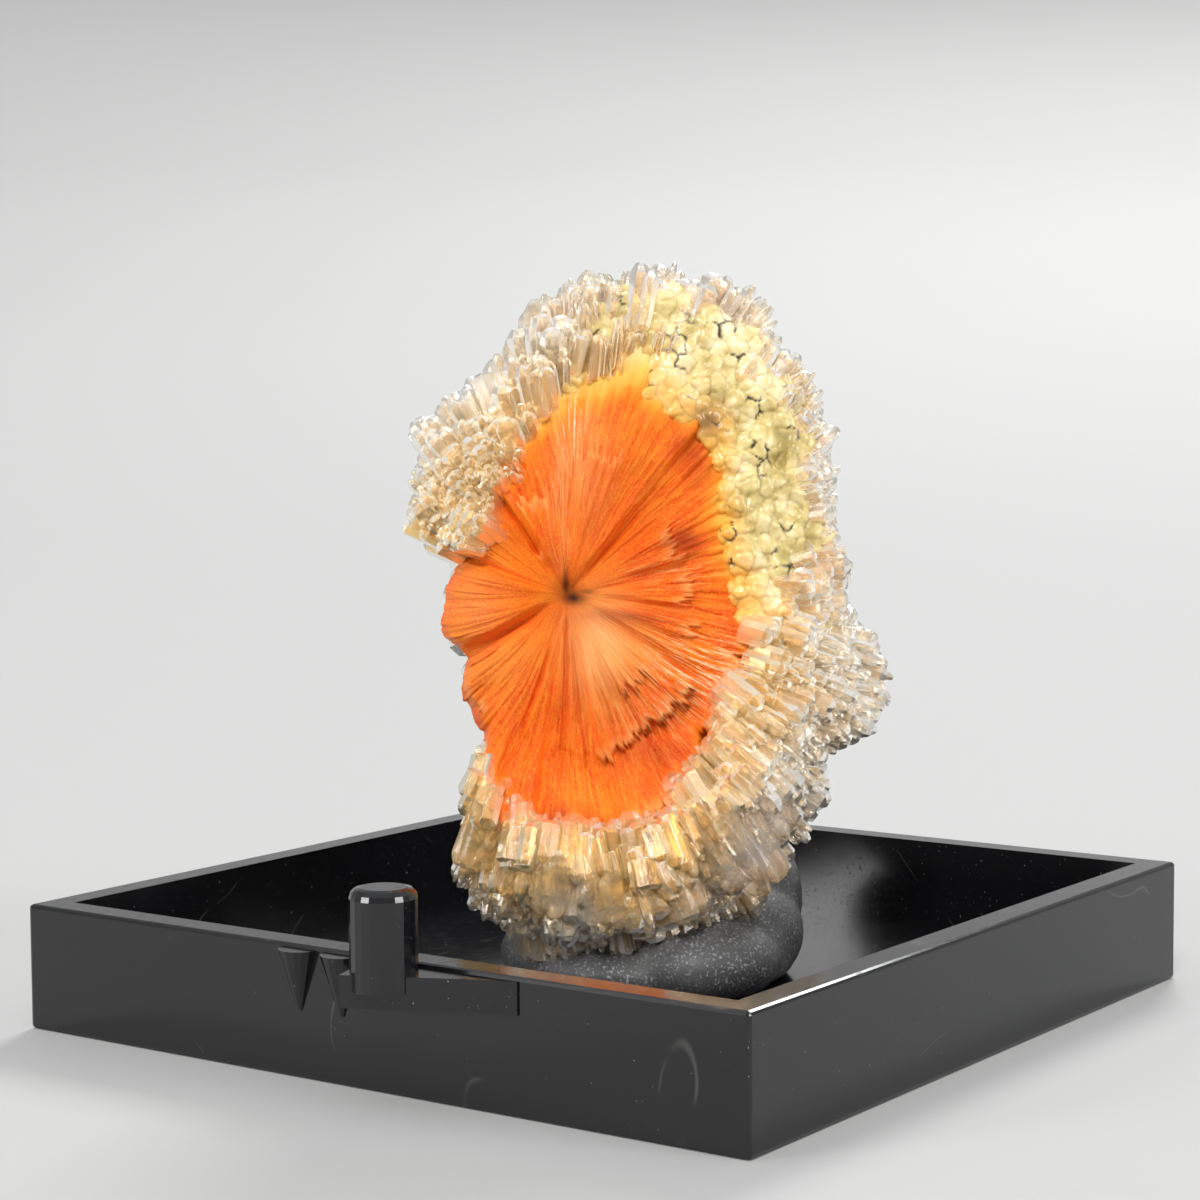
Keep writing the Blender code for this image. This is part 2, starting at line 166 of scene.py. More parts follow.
place = node(nt, "ShaderNodeTexCoord").outputs["Object"]
dust = node(nt, "ShaderNodeTexNoise", Vector=place, Scale=7600.0, Detail=1.0).outputs["Fac"]
specks = ramp(nt, dust, (0.76, 0.0), (0.80, 1.0))
stretched = node(nt, "ShaderNodeMapping", Vector=place, Scale=(5200, 900, 5200)).outputs["Vector"]
scratches = ramp(nt, node(nt, "ShaderNodeTexNoise", Vector=stretched, Scale=1.0, Detail=4.0).outputs["Fac"],
                 (0.60, 0.0), (0.66, 1.0))
worn = node(nt, "ShaderNodeTexNoise", Vector=place, Scale=110.0, Detail=0.5, Distortion=0.1).outputs["Fac"]
hairline = ramp(nt, worn, (0.4965, 0.0), (0.4985, 1.0), (0.5005, 0.0))
broken_up = node(nt, "ShaderNodeTexNoise", Vector=place, Scale=240.0, Detail=2.0).outputs["Fac"]
hairline = mixed(nt, ramp(nt, broken_up, (0.50, 0.0), (0.60, 1.0)), (0.0, 0.0, 0.0), hairline)
marks = mixed(nt, 1.0, specks, hairline, "LIGHTEN")
nt.links.new(mixed(nt, marks, BLACK, SCUFFED), shader.inputs["Base Color"])
nt.links.new(mixed(nt, scratches, (0.14, 0.14, 0.14), (0.26, 0.26, 0.26)), shader.inputs["Roughness"])
tray.data.materials.clear()
tray.data.materials.append(plastic)

# The putty is a soft grey lump, kneaded by hand and pressed onto the tray's floor. The specimen's lower end
# is bedded in it, and a lobe of it stands up behind the right side.

# The specimen's face is turned by TURN from the tray's front. RIGHT, FRONT and straight up are its own
# directions, and CENTRE is the point that its needles grew from.
TURN = math.radians(35.4)
RIGHT = Vector((math.cos(TURN), math.sin(TURN), 0))
FRONT = Vector((math.sin(TURN), -math.cos(TURN), 0))
CENTRE = RIGHT * -2.5 * MM + FRONT * -0.5 * MM + Vector((0, 0, 20.1 * MM))


def finish(piece, name, node_slot, material, *nodes):
    """Names a piece, gives it its material, says what it rides on and hides the nodes that it replaces. node_slot is
    not used.
    """
    piece.name = name
    piece.data.name = name
    piece.data.materials.clear()
    piece.data.materials.append(material)
    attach(piece, "root")
    if nodes:
        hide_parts(*nodes)


def apply_all(piece):
    """Applies a piece's modifiers in their order."""
    let_go()
    piece.select_set(True)
    bpy.context.view_layer.objects.active = piece
    for modifier in list(piece.modifiers):
        bpy.ops.object.modifier_apply(modifier=modifier.name)


def merged(parts):
    """Joins the parts into the first of them."""
    let_go()
    for part in parts:
        part.select_set(True)
    bpy.context.view_layer.objects.active = parts[0]
    bpy.ops.object.join()
    bpy.ops.object.transform_apply(location=True, rotation=True, scale=True)
    return bpy.context.object


def reskinned(piece, voxel, smoothing=0):
    """Covers everything in a piece with one closed skin."""
    skin = piece.modifiers.new("skin", "REMESH")
    skin.mode = "VOXEL"
    skin.voxel_size = voxel
    if smoothing:
        piece.modifiers.new("smoothed", "SMOOTH").iterations = smoothing
    apply_all(piece)
    bpy.ops.object.shade_smooth()
    return piece


# how far right, towards the viewer and up each lump's middle is, and its three half sizes, in millimetres
PUTTY_LUMPS = (
    (1.8, 0.6, 2.3, 6.6, 5.6, 1.8), (3.8, 2.9, 2.8, 3.8, 4.3, 2.2), (5.6, -0.6, 3.4, 3.3, 4.8, 2.8),
    (6.2, -3.0, 4.6, 2.8, 3.9, 3.6), (-2.4, -0.4, 2.5, 3.6, 3.8, 2.0), (1.5, -5.2, 4.4, 5.6, 3.0, 3.2),
)
PUTTY_FOOT = 1.42 * MM
kneaded = []
for right, front, height, *halves in PUTTY_LUMPS:
    let_go()
    at = (RIGHT * right + FRONT * front) * MM + Vector((0, 0, height * MM))
    bpy.ops.mesh.primitive_uv_sphere_add(segments=32, ring_count=16, radius=1, location=at, rotation=(0, 0, TURN))
    bpy.context.object.scale = [h * MM for h in halves]
    kneaded.append(bpy.context.object)
putty = reskinned(merged(kneaded), 0.22 * MM, 14)
let_go()
putty.select_set(True)
bpy.context.view_layer.objects.active = putty
bpy.ops.object.mode_set(mode="EDIT")
bpy.ops.mesh.select_all(action="SELECT")
bpy.ops.mesh.bisect(plane_co=(0, 0, PUTTY_FOOT), plane_no=(0, 0, 1), clear_inner=True, use_fill=True)
bpy.ops.object.mode_set(mode="OBJECT")
grey, nt, shader = shader_of("grey putty", Base_Color=(0.055, 0.056, 0.058, 1), Roughness=0.42)
place = node(nt, "ShaderNodeTexCoord").outputs["Object"]
grain = node(nt, "ShaderNodeTexNoise", Vector=place, Scale=6500.0, Detail=2.0, Roughness=0.7).outputs["Fac"]
broad = node(nt, "ShaderNodeTexNoise", Vector=place, Scale=420.0, Detail=3.0).outputs["Fac"]
nt.links.new(mixed(nt, ramp(nt, grain, (0.56, 0.0), (0.72, 1.0)), ramp(nt, broad, (0.3, 0.045), (0.7, 0.10)),
                   (0.36, 0.36, 0.38)), shader.inputs["Base Color"])
nt.links.new(ramp(nt, grain, (0.3, 0.62), (0.7, 0.25)), shader.inputs["Roughness"])
bump = node(nt, "ShaderNodeBump", Height=grain, Strength=0.8, Distance=0.07 * MM)
nt.links.new(bump.outputs["Normal"], shader.inputs["Normal"])
finish(putty, "putty_lump", "putty", grey, "putty")

# The fan is the broken face of a ball of needles that grew out from one point, and the body behind it. It is
# one stone, orange inside, and its needles broke off in sheaves and short ragged steps.

# Degrees here run anticlockwise from the right, round the growth centre. OUTLINE and ORANGE_EDGE give the
# distance of the rim and of the orange's edge in millimetres, and GROOVES where one sheaf meets the next.
OUTLINE = np.array((
    (0, 12.0), (18, 12.4), (32, 13.4), (45, 14.7), (58, 15.3), (72, 15.0), (86, 13.6), (97, 12.2), (105, 10.0),
    (116, 9.8), (128, 9.4), (141, 8.2), (152, 7.2), (161, 5.3), (180, 5.9), (197, 6.3), (212, 5.8), (226, 7.2),
    (238, 7.8), (245, 9.6), (251, 14.0), (262, 15.3), (275, 16.2), (286, 16.6), (300, 15.8), (314, 14.8),
    (326, 13.5), (338, 14.0), (349, 13.2), (360, 12.0)))
ORANGE_EDGE = np.array((
    (0, 8.3), (14, 7.5), (32, 8.1), (39, 9.2), (48, 10.3), (55, 10.2), (64, 9.6), (72, 10.4), (81, 9.6),
    (92, 8.6), (105, 7.6), (120, 6.6), (138, 6.0), (152, 5.8), (162, 9.0), (240, 9.0), (246, 11.0), (254, 12.0),
    (264, 11.9), (272, 10.6), (277, 12.1), (282, 13.0), (289, 12.2), (301, 11.2), (308, 10.3), (313, 9.6),
    (329, 9.3), (345, 9.1), (357, 8.5), (360, 8.3)))
GROOVES = np.array((2, 15, 27, 40, 51, 63, 75, 86, 97, 112, 130, 145, 159, 184, 210, 226, 242, 256, 267, 276, 288,
                    299, 310, 321, 333, 347, 362.0))


def ease(t):
    """From 0 to 1 with a soft start and end."""
    return t * t * (3 - 2 * t)


def around(table, degrees):
    """A value from a table of (degrees, value), eased between its rows."""
    degrees = np.mod(degrees, 360)
    row = np.clip(np.searchsorted(table[:, 0], degrees, side="right") - 1, 0, len(table) - 2)
    t = ease((degrees - table[row, 0]) / (table[row + 1, 0] - table[row, 0]))
    return table[row, 1] * (1 - t) + table[row + 1, 1] * t


def ribs(degrees, radius, count, length, seed, blocky=False):
    """Noise from -1 to 1 in long cells: so many round the circle, each so many millimetres long."""
    rows = 64
    cells = np.random.default_rng(seed).uniform(-1, 1, (rows, count))
    x = np.mod(degrees / 360, 1) * count
    column = np.floor(x).astype(int) % count
    offset = np.random.default_rng(seed + 1).uniform(0, 1, count)

    def along(c):
        y = radius / length + offset[c] + 1
        row = np.clip(np.floor(y).astype(int), 0, rows - 2)
        t = ease(y - row)
        return cells[row, c] * (1 - t) + cells[row + 1, c] * t

    if blocky:
        return along(column)
    t = ease(x - np.floor(x))
    return along(column) * (1 - t) + along((column + 1) % count) * t


def smooth_step(low, high, x):
    """0 up to low and 1 from high, with an eased rise between them."""
    return ease(np.clip((x - low) / (high - low), 0, 1))


# the face's height at its middle and its fall to the rim, the pit in its middle and the swelling of its lower
# right, in millimetres; LEAN is how far the slab leans back for each millimetre up
FACE_HEIGHT, FACE_FALL, RIM_HEIGHT = 2.6, 1.95, 0.65
PIT_DEPTH, PIT_RADIUS = 0.7, 0.6
SWELLING, SWELLING_AT, SWELLING_HALF = 3.4, 290, 60
LEAN = 0.08


def face_depth(degrees, share):
    """How far the broken face stands towards the viewer, in millimetres, at a share of the way to the rim."""
    radius = around(OUTLINE, degrees) * share
    away = np.abs(np.mod(degrees - SWELLING_AT + 180, 360) - 180)
    swelling = SWELLING * np.clip(1 - (away / SWELLING_HALF) ** 2, 0, 1) * np.exp(-(((share - 0.86) / 0.22) ** 2))
    return FACE_HEIGHT - FACE_FALL * share**4 - PIT_DEPTH * np.exp(-((radius / PIT_RADIUS) ** 2)) + swelling


AXES = np.array((RIGHT, FRONT, Vector((0, 0, 1))))


def to_world(points):
    """From millimetres about the growth centre (right, towards the viewer, up) to the tray's frame."""
    return np.asarray(points) @ AXES * MM + np.array(CENTRE)


def closed_ball(name, segments, rings):
    """A ball's mesh with its poles on +Z and -Z: its object, and each point's ring and turn round the pole."""
    ring, turn = np.meshgrid(np.arange(1, rings), np.arange(segments), indexing="ij")
    ring, turn = np.append(ring.ravel(), (0, rings)), np.append(turn.ravel(), (0, 0))
    north, south = len(ring) - 2, len(ring) - 1
    row, column = np.meshgrid(np.arange(rings - 2), np.arange(segments), indexing="ij")
    a, b = row * segments + column, row * segments + (column + 1) % segments
    quads = np.stack((a, a + segments, b + segments, b), -1).reshape(-1, 4)
    i = np.arange(segments)
    j = (i + 1) % segments
    last = (rings - 2) * segments
    caps = [(north, x, y) for x, y in zip(i.tolist(), j.tolist())]
    caps += [(south, last + y, last + x) for x, y in zip(i.tolist(), j.tolist())]
    mesh = bpy.data.meshes.new(name)
    mesh.from_pydata(np.zeros((len(ring), 3)), [], quads.tolist() + caps)
    made = bpy.data.objects.new(name, mesh)
    bpy.context.scene.collection.objects.link(made)
    return made, ring, turn / segments * 360


# Plates of needles that lie over the rest: first and last degree, inner and outer radius and height in
# millimetres, and how ragged the broken outer end is
PLATES = (
    (50, 126, 0.0, 30.0, 0.40, 0.0), (159, 209, 0.6, 30.0, 0.70, 0.0), (211, 262, 0.8, 10.6, 0.55, 0.6),
    (279, 326, 0.8, 7.6, 0.50, 0.4), (282, 300, 7.0, 11.0, 0.40, 0.5),
    (327, 352, 1.0, 8.8, 0.30, 0.5), (352, 371, 1.0, 5.6, 0.30, 0.5), (14, 36, 2.0, 5.4, 0.40, 0.5),
    (66, 88, 2.0, 6.8, 0.25, 0.6), (98, 122, 1.0, 5.0, 0.30, 0.4), (218, 236, 3.0, 7.0, 0.25, 0.5),
    (296, 318, 2.0, 5.6, 0.25, 0.6), (338, 350, 2.0, 6.0, 0.25, 0.5), (116, 132, 0.2, 2.3, 0.40, 0.1),
)
# how finely the mesh is cut round and outwards, and how many of its rings are on the face
SEGMENTS, RINGS, FRONT_RINGS = 776, 124, 106
fan, ring, degrees = closed_ball("needle_fan", SEGMENTS, RINGS)
on_front = ring <= FRONT_RINGS
share = np.where(on_front, (ring / FRONT_RINGS) ** 0.92,
                 np.sin((RINGS - ring) / (RINGS - FRONT_RINGS) * math.pi / 2))
rim = around(OUTLINE, degrees)
ragged = 1 + 0.010 * ribs(degrees, rim, 260, 3.0, 5) + 0.016 * ribs(degrees, rim, 90, 3.0, 6)
radius = rim * share
zone = around(ORANGE_EDGE, degrees)

# the relief of the broken face, in millimetres: domed sheaves, needles, ragged ends, clefts and plates, all
# along slightly bent lines from the growth centre
bent = degrees + 2.2 * ribs(degrees, radius, 14, 4.0, 61) + 0.8 * ribs(degrees, radius, 40, 1.6, 63)
bent = degrees + (bent - degrees) * smooth_step(0.2, 2.5, radius)
turned = np.where(np.mod(bent, 360) < 2, np.mod(bent, 360) + 360, np.mod(bent, 360))
sheaf = np.clip(np.searchsorted(GROOVES, turned, side="right") - 1, 0, 25)
across_sheaf = (turned - GROOVES[sheaf]) / (GROOVES[sheaf + 1] - GROOVES[sheaf])
offsets = np.random.default_rng(3).uniform(-1, 1, 27)
dome = 1 - np.abs(2 * across_sheaf - 1) ** 3
relief = 0.08 * dome * smooth_step(0.3, 4.0, radius) + 0.08 * offsets[sheaf] * smooth_step(1.5, 6, radius)
# needles of three widths: height, how many round, length, seed, and the radii between which they rise
for high, count, length, seed, start, full in ((0.04, 96, 7.0, 11, 0.5, 4), (0.055, 230, 3.0, 13, 1.5, 5),
                                               (0.05, 388, 1.6, 17, 2.5, 5)):
    relief += high * ribs(bent, radius, count, length, seed) * smooth_step(start, full, radius)
relief += 0.05 * ribs(degrees, radius, 24, 1.4, 71) * smooth_step(1.0, 3, radius)
broken = ribs(bent, radius, 194, 1.8, 23, blocky=True)
relief += 0.10 * np.round(broken * 1.5) / 1.5 * smooth_step(2.0, 7.0, radius)
splinter = (0.5 * ribs(degrees, radius, 388, 30.0, 29, blocky=True)
            + 0.8 * ribs(degrees, radius, 130, 30.0, 31, blocky=True) + ribs(degrees, radius, 30, 30.0, 37))
# the clefts between the main sheaves: where each runs, and how open it is
for cleft, openness in ((125, 0.7), (49, 0.6), (268, 0.5), (8, 0.35), (250, 0.5), (210, 0.5)):
    wide = (np.mod(bent - cleft + 180, 360) - 180) * radius * math.pi / 180
    reach = smooth_step(0.4, 2.0, radius) * smooth_step(9.5, 6.0, radius)
    relief -= 0.45 * openness * np.exp(-((wide / 0.13) ** 2)) * reach
shade, lit_rim = np.zeros(len(radius)), np.zeros(len(radius))
for first, last, inner, outer, high, rough in PLATES:
    into = np.minimum(np.mod(degrees - first, 360), np.mod(last - degrees, 360))
    inside = np.mod(degrees - first, 360) < last - first
    side = smooth_step(0, 1.6, into * np.maximum(radius, 1.5) * math.pi / 180 * 4) * inside
    reach = outer + rough * splinter
    relief += high * side * smooth_step(inner, inner + 2.2, radius) * smooth_step(reach + 0.15, reach - 0.15, radius)
    # below each broken end a band of painted shade, and just inside it a painted lit rim
    if outer < 20:
        shade = np.maximum(shade, side * high * (radius > reach) * smooth_step(reach + 1.1, reach, radius))
        lit_rim = np.maximum(lit_rim, side * (radius <= reach) * smooth_step(reach - 0.8, reach - 0.1, radius))
sink = smooth_step(zone - 0.4 + 0.35 * splinter, zone + 0.5 + 0.35 * splinter, radius)
relief -= 1.3 * sink * smooth_step(236, 250, degrees)
depth = face_depth(degrees, share) + relief * np.clip((1 - share) * 14, 0, 1)
rounded = np.sqrt(np.clip(1 - share**2, 0, 1))
bulge = 7.4 + 0.45 * ribs(degrees, radius, 30, 1.6, 91) + 0.25 * ribs(degrees, radius, 90, 0.8, 93)
back = RIM_HEIGHT - bulge * rounded
rim_wave = 1 + rounded * (0.020 * ribs(degrees, 9 * rounded, 90, 1.6, 95)
                          + 0.010 * ribs(degrees, 9 * rounded, 300, 1.2, 97))
up = radius * np.sin(np.radians(degrees)) * np.where(on_front, ragged, rim_wave)
side = radius * np.cos(np.radians(degrees)) * np.where(on_front, ragged, rim_wave)
w = np.where(on_front, depth, back) - LEAN * up
fan.data.vertices.foreach_set("co", to_world(np.stack((side, w, up), 1)).ravel())
fan.data.update()


def give(piece, name, values):
    """Stores a value or a vector for each point of a piece's mesh."""
    values = np.asarray(values, dtype=np.float32)
    kind = "FLOAT_VECTOR" if values.ndim > 1 else "FLOAT"
    made = piece.data.attributes.new(name, kind, "POINT")
    made.data.foreach_set("vector" if values.ndim > 1 else "value", values.ravel())


def local(piece):
    """A piece's points in millimetres about the growth centre: right, towards the viewer, up."""
    co = np.empty(len(piece.data.vertices) * 3)
    piece.data.vertices.foreach_get("co", co)
    return (co.reshape(-1, 3) - np.array(CENTRE)) @ AXES.T / MM


def give_fibres(piece):
    """Gives a pattern's place along and round the needles, so that it runs out from the growth centre."""
    at = local(piece)
    degrees = np.arctan2(at[:, 2], at[:, 0])
    radius = np.hypot(at[:, 0], at[:, 2])
    turn = degrees + np.radians(ribs(np.degrees(degrees), radius, 14, 4.0, 61) * 2.2) * smooth_step(0.2, 2.5, radius)
    give(piece, "fibre", np.stack((np.cos(turn) * 40, np.sin(turn) * 40, radius * 0.25 + at[:, 1] * 0.25), 1))
    return at, np.degrees(degrees) % 360, radius


def spots(at, *places):
    """A soft mask of rounded patches: (right, up, half width, half height, strength) each, in millimetres."""
    mask = np.zeros(len(at))
    for right, up, wide, high, strength in places:
        d = ((at[:, 0] - right) / wide) ** 2 + ((at[:, 2] - up) / high) ** 2
        mask = np.maximum(mask, strength * np.exp(-d))
    return mask


# what the colours follow: pale towards the rim, painted shade in the breaks, lighter on fresh faces with
# painted lit rims along the plates' broken ends, painted glints on clear needles, and painted shade in the pit
at, degrees, radius = give_fibres(fan)
zone = around(ORANGE_EDGE, degrees)
pale = smooth_step(-2.4, 3.4, radius - zone + 0.5 * ribs(degrees, radius, 190, 3.0, 81))
pale = np.maximum(pale, smooth_step(-9.0, -13.0, at[:, 1] * 3))
bare = smooth_step(152, 164, degrees) * smooth_step(252, 240, degrees)
give(fan, "pale", np.where(on_front, pale, 1 - bare * smooth_step(-7.5, -0.5, at[:, 1])))
# painted shade, in dark red: a band below each plate's broken end, and shadowed pits, grooves and recesses
give(fan, "painted_shade", np.maximum(np.clip(shade, 0, 1) * on_front * 0.55, spots(
    at, (5.6, 2.5, 0.9, 0.7, 0.75), (6.2, 6.8, 1.6, 1.6, 0.5), (-0.2, -10.7, 1.5, 0.8, 0.8),
    (3.0, -1.0, 3.0, 0.4, 0.5), (4.0, -7.5, 2.6, 0.8, 0.4), (3.6, -5.4, 2.6, 1.6, 0.25),
    (3.6, 5.2, 2.2, 3.0, 0.2), (-4.0, 2.4, 1.0, 1.4, 0.25), (0.3, -11.2, 2.0, 0.9, 0.7))))
# paler orange: painted light along the plates' broken rims, and the stone's own paler patches
give(fan, "lit_rims_and_pale_patches", np.maximum(lit_rim * on_front * 0.55, spots(
    at, (1.6, -2.6, 1.7, 2.4, 0.9), (0.6, 6.4, 1.4, 3.0, 0.4), (-3.6, -3.0, 2.4, 2.0, 0.2),
    (-4.6, -0.6, 1.6, 2.2, 0.35))))
# painted glints: paler streaks where clear needles catch the light
give(fan, "glint", spots(at, (6.0, -3.6, 2.6, 1.8, 1.0), (0.2, 8.0, 0.6, 1.7, 1.0), (4.5, -5.0, 2.0, 1.5, 0.5),
                         (1.5, -2.0, 1.5, 2.0, 0.4), (5.0, 1.0, 2.0, 0.6, 0.4), (-0.4, 4.0, 0.5, 3.0, 0.4)))
# painted shade in the central pit and along the small tongue at its edge
give(fan, "pit", spots(at, (0.25, -0.2, 0.55, 0.32, 1.0), (-0.1, 0.5, 0.14, 0.8, 0.8), (0.9, 0.1, 0.5, 0.12, 0.6)))

stone, nt, shader = shader_of("orange scolecite", Roughness=0.4, IOR=1.52, Specular_IOR_Level=0.22)


def attribute(tree, name, output="Fac"):
    """The socket of a value that is stored on the mesh."""
    return node(tree, "ShaderNodeAttribute", attribute_name=name).outputs[output]


fibre = attribute(nt, "fibre", "Vector")
coarse = node(nt, "ShaderNodeTexNoise", Vector=fibre, Scale=0.55, Detail=3.0, Roughness=0.6).outputs["Fac"]
fine = node(nt, "ShaderNodeTexNoise", Vector=fibre, Scale=1.9, Detail=5.0, Roughness=0.8).outputs["Fac"]
place = node(nt, "ShaderNodeTexCoord").outputs["Object"]
grains = node(nt, "ShaderNodeTexNoise", Vector=place, Scale=8000.0, Detail=2.0, Roughness=0.7).outputs["Fac"]
cloud = node(nt, "ShaderNodeTexNoise", Vector=place, Scale=330.0, Detail=3.0, Roughness=0.6).outputs["Fac"]
orange = ramp(nt, cloud, (0.32, (0.92, 0.085, 0.0)), (0.50, (1.0, 0.155, 0.001)), (0.68, (1.0, 0.24, 0.004)))
orange = mixed(nt, ramp(nt, coarse, (0.35, 0.45), (0.58, 0.0)), orange, (0.86, 0.065, 0.002))
orange = mixed(nt, ramp(nt, fine, (0.50, 0.0), (0.66, 0.70)), orange, (1.0, 0.32, 0.008))
orange = mixed(nt, ramp(nt, fine, (0.34, 0.85), (0.48, 0.0)), orange, (0.74, 0.04, 0.001))
orange = mixed(nt, ramp(nt, grains, (0.48, 0.0), (0.64, 0.40)), orange, (1.0, 0.38, 0.02))
# paler where the rims are painted lit, and on the stone's own paler patches
orange = mixed(nt, attribute(nt, "lit_rims_and_pale_patches"), orange, (1.0, 0.42, 0.12))
# painted shade, in dark red
orange = mixed(nt, attribute(nt, "painted_shade"), orange, (0.34, 0.016, 0.002))
yellow = ramp(nt, attribute(nt, "pale"), (0.0, (1.0, 0.17, 0.004)), (0.35, (1.0, 0.34, 0.02)),
              (0.62, (0.98, 0.55, 0.10)), (0.9, (0.96, 0.74, 0.34)))
colour = mixed(nt, ramp(nt, attribute(nt, "pale"), (0.12, 0.0), (0.42, 1.0)), orange, yellow)
# painted glints, paler streaks along the needles
glints = node(nt, "ShaderNodeMath", operation="MULTIPLY", use_clamp=True)
nt.links.new(ramp(nt, fine, (0.53, 0.0), (0.57, 1.0)), glints.inputs[0])
nt.links.new(attribute(nt, "glint"), glints.inputs[1])
colour = mixed(nt, glints.outputs[0], colour, (1.0, 0.74, 0.45))
# painted shade in the pit
colour = mixed(nt, attribute(nt, "pit"), colour, (0.06, 0.015, 0.012))
nt.links.new(colour, shader.inputs["Base Color"])
nt.links.new(ramp(nt, fine, (0.35, 0.6), (0.7, 0.3)), shader.inputs["Roughness"])
bump = node(nt, "ShaderNodeBump", Height=fine, Strength=0.85, Distance=0.09 * MM)
nt.links.new(bump.outputs["Normal"], shader.inputs["Normal"])
let_go()
fan.select_set(True)
bpy.context.view_layer.objects.active = fan
bpy.ops.object.shade_smooth()
finish(fan, "needle_fan", "scolecite", stone, "scolecite")

# The clear crystals are the needles' own ends, grown thick and glassy. They are blunt prisms, grooved along
# their length, that grew side by side in bundles. These first ones stand in rows down the lower front.
def model_crystal(sides, shoulder, tip, skew):
    """One crystal a millimetre long and a millimetre in radius: how high its shoulder is, how much its tip
    narrows, and how far that leans to one side."""

    def pick_end(up):
        """Selects the end faces that look up (1) or down (-1)."""
        bpy.ops.mesh.select_all(action="DESELECT")
        bm = bmesh.from_edit_mesh(made.data)
        for face in bm.faces:
            face.select = face.normal.z * up > 0.9
        bmesh.update_edit_mesh(made.data)

    def draw_out(move, narrowing):
        """Draws the chosen end further out and narrows it."""
        bpy.ops.mesh.extrude_region_move(TRANSFORM_OT_translate={"value": move})
        bpy.ops.transform.resize(value=(narrowing, narrowing, 1))

    let_go()
    bpy.ops.mesh.primitive_cylinder_add(vertices=sides, radius=1.0, depth=shoulder, location=(0, 0, shoulder / 2))
    made = bpy.context.object
    bpy.ops.object.transform_apply(location=True)
    bpy.ops.object.mode_set(mode="EDIT")
    pick_end(1)
    draw_out((skew * 0.4, 0, (1 - shoulder) * 0.62), 0.72)
    draw_out((skew * 0.3, 0, (1 - shoulder) * 0.38), tip)
    pick_end(-1)
    draw_out((0, 0, -0.09), 0.55)
    bpy.ops.object.mode_set(mode="OBJECT")
    points = np.array([v.co for v in made.data.vertices])
    faces = [tuple(f.vertices) for f in made.data.polygons]
    bpy.data.objects.remove(made)
    return points, faces


CRYSTALS = [model_crystal(*sizes) for sizes in (
    (8, 0.84, 0.60, 0.10), (6, 0.88, 0.66, -0.12), (7, 0.80, 0.52, 0.06), (6, 0.92, 0.74, 0.0),
    (8, 0.85, 0.45, -0.05))]


class Cluster:
    """Crystals gathered for one piece, copied from the modelled ones."""

    def __init__(self, seed):
        self.rng = np.random.default_rng(seed)
        self.points, self.faces, self.tips = [], [], []
        self.count = 0

    def add(self, foot, direction, length, radius, buried):
        """One crystal on a foot, with a share of its length buried."""
        points, faces = CRYSTALS[self.rng.integers(len(CRYSTALS))]
        direction = Vector(direction).normalized()
        turn = np.array((direction.to_track_quat("Z", "Y").to_matrix() @ Matrix.Rotation(
            self.rng.uniform(0, math.tau), 3, "Z")))
        flat = self.rng.uniform(0.65, 1.0)
        scaled = points * np.array((radius, radius * flat, length)) - np.array((0, 0, length * buried))
        self.points.append(scaled @ turn.T + np.array(foot))
        self.faces.extend(tuple(i + self.count for i in face) for face in faces)
        self.count += len(points)
        self.tips.append(np.array(foot) + np.array(direction) * length * (1 - buried))

    def bundle(self, foot, direction, length, width, count, buried=0.5):
        """Several crystals side by side, grown the same way, each to its own length."""
        direction = Vector(direction).normalized()
        side = direction.orthogonal().normalized()
        other = direction.cross(side)
        for i in range(count):
            turn = math.tau * (i + self.rng.uniform(0, 0.5)) / max(1, count - 1)
            away = 0 if i == 0 else width * self.rng.uniform(0.5, 0.85)
            at = np.array(foot) + np.array(side * math.cos(turn) + other * math.sin(turn)) * away
            lean = np.array(direction) + self.rng.uniform(-0.06, 0.06, 3)
            self.add(at, lean, length * (self.rng.uniform(0.66, 1.0) if i else 1.08),
                     width * self.rng.choice((0.26, 0.38, 0.5, 0.62)), buried)

    def build(self, name):
        """The cluster as one object, left selected."""
        mesh = bpy.data.meshes.new(name)
        mesh.from_pydata(to_world(np.concatenate(self.points)), [], self.faces)
        made = bpy.data.objects.new(name, mesh)
        bpy.context.scene.collection.objects.link(made)
        let_go()
        made.select_set(True)
        bpy.context.view_layer.objects.active = made
        return made


def face_point(degrees, share, lift=0.0):
    """A point of the face, in millimetres: right, towards the viewer, up."""
    r = around(OUTLINE, np.array([degrees]))[0] * share
    up = r * math.sin(math.radians(degrees))
    depth = face_depth(np.array([degrees]), share)[0] + lift
    return np.array((r * math.cos(math.radians(degrees)), depth - LEAN * up, up))


IN_BUNDLE, SPREAD = 7, 0.17


def grow_row(cluster, first, last, count, share, length, width, tilt, lift=0.0):
    """A row of bundles on the face: from which degree to which, how many, at which share of the way to the rim,
    their length and width in millimetres, how far they tilt to the viewer and how far they are lifted."""
    rng = cluster.rng
    for i in range(count):
        degrees = first + (last - first) * (i + rng.uniform(0.15, 0.85)) / count
        foot = face_point(degrees, share * rng.uniform(0.965, 1.035), lift + rng.uniform(-0.35, 0.35))
        outward = np.array((math.cos(math.radians(degrees)), 0, math.sin(math.radians(degrees))))
        direction = outward + np.array((0, tilt + rng.uniform(-0.2, 0.2), 0)) + rng.uniform(-SPREAD, SPREAD, 3)
        cluster.bundle(foot, direction, length * rng.uniform(0.7, 1.35), width * rng.uniform(0.7, 1.35), IN_BUNDLE)


